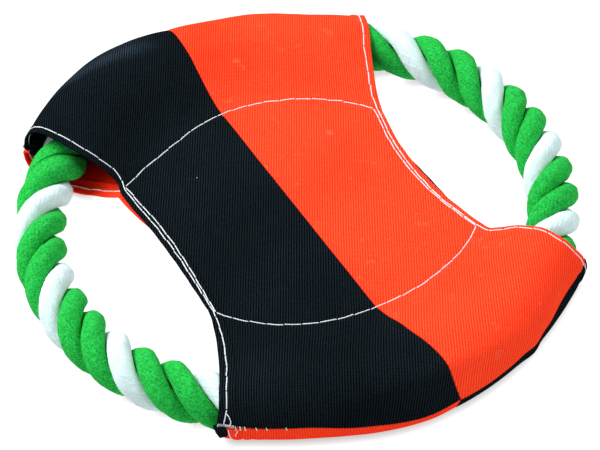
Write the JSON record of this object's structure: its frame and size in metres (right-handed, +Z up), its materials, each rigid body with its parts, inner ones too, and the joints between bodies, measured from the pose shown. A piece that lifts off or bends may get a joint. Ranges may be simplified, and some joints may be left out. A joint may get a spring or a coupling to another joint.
{
  "type": "flying ring",
  "caption": "Soft flying ring: a hoop of thick twisted rope runs through the sleeves of a two-layer cloth cover, leaving two open grip windows.",
  "frame": {"origin": "under the middle of the ring, on the surface that the ring rests on", "axes": "+Z up through the hole of the rope hoop; +Y along the seam between the black half and the orange half; +X towards the half that is orange on top"},
  "size_m": [0.219, 0.2328, 0.0276],
  "materials": {
    "black_nylon": "satin",
    "orange_nylon": "satin",
    "green_cotton": "matte",
    "white_cotton": "matte",
    "white_thread": "matte",
    "binding_tape": "matte"
  },
  "bodies": {
    "cover": {"top_panel_black": "black_nylon", "top_panel_orange": "orange_nylon", "bottom_panel_orange": "orange_nylon", "bottom_panel_black": "black_nylon", "ring_stitch_top_thread": "white_thread", "ring_stitch_bobbin_thread": "white_thread", "hem_thread_top_black": "white_thread", "hem_thread_top_orange": "white_thread", "hem_thread_bottom_orange": "white_thread", "hem_thread_bottom_black": "white_thread", "outer_seam_thread_far": "white_thread", "outer_seam_thread_near": "white_thread", "centre_seam_thread_top": "white_thread", "centre_seam_thread_bottom": "white_thread", "mouth_tack_far_black": "white_thread", "mouth_tack_far_orange": "white_thread", "mouth_tack_near_black": "white_thread", "mouth_tack_near_orange": "white_thread"},
    "rope": {"rope_strand_white": "white_cotton", "rope_strand_green_a": "green_cotton", "rope_strand_green_b": "green_cotton", "rope_joint_binding": "binding_tape"}
  },
  "joints": [
    {"name": "rope_turn", "type": "hinge", "parent": "cover", "child": "rope", "pos_m": [0, 0, 0.012], "axis": [0, 0, 1], "continuous": true}
  ]
}
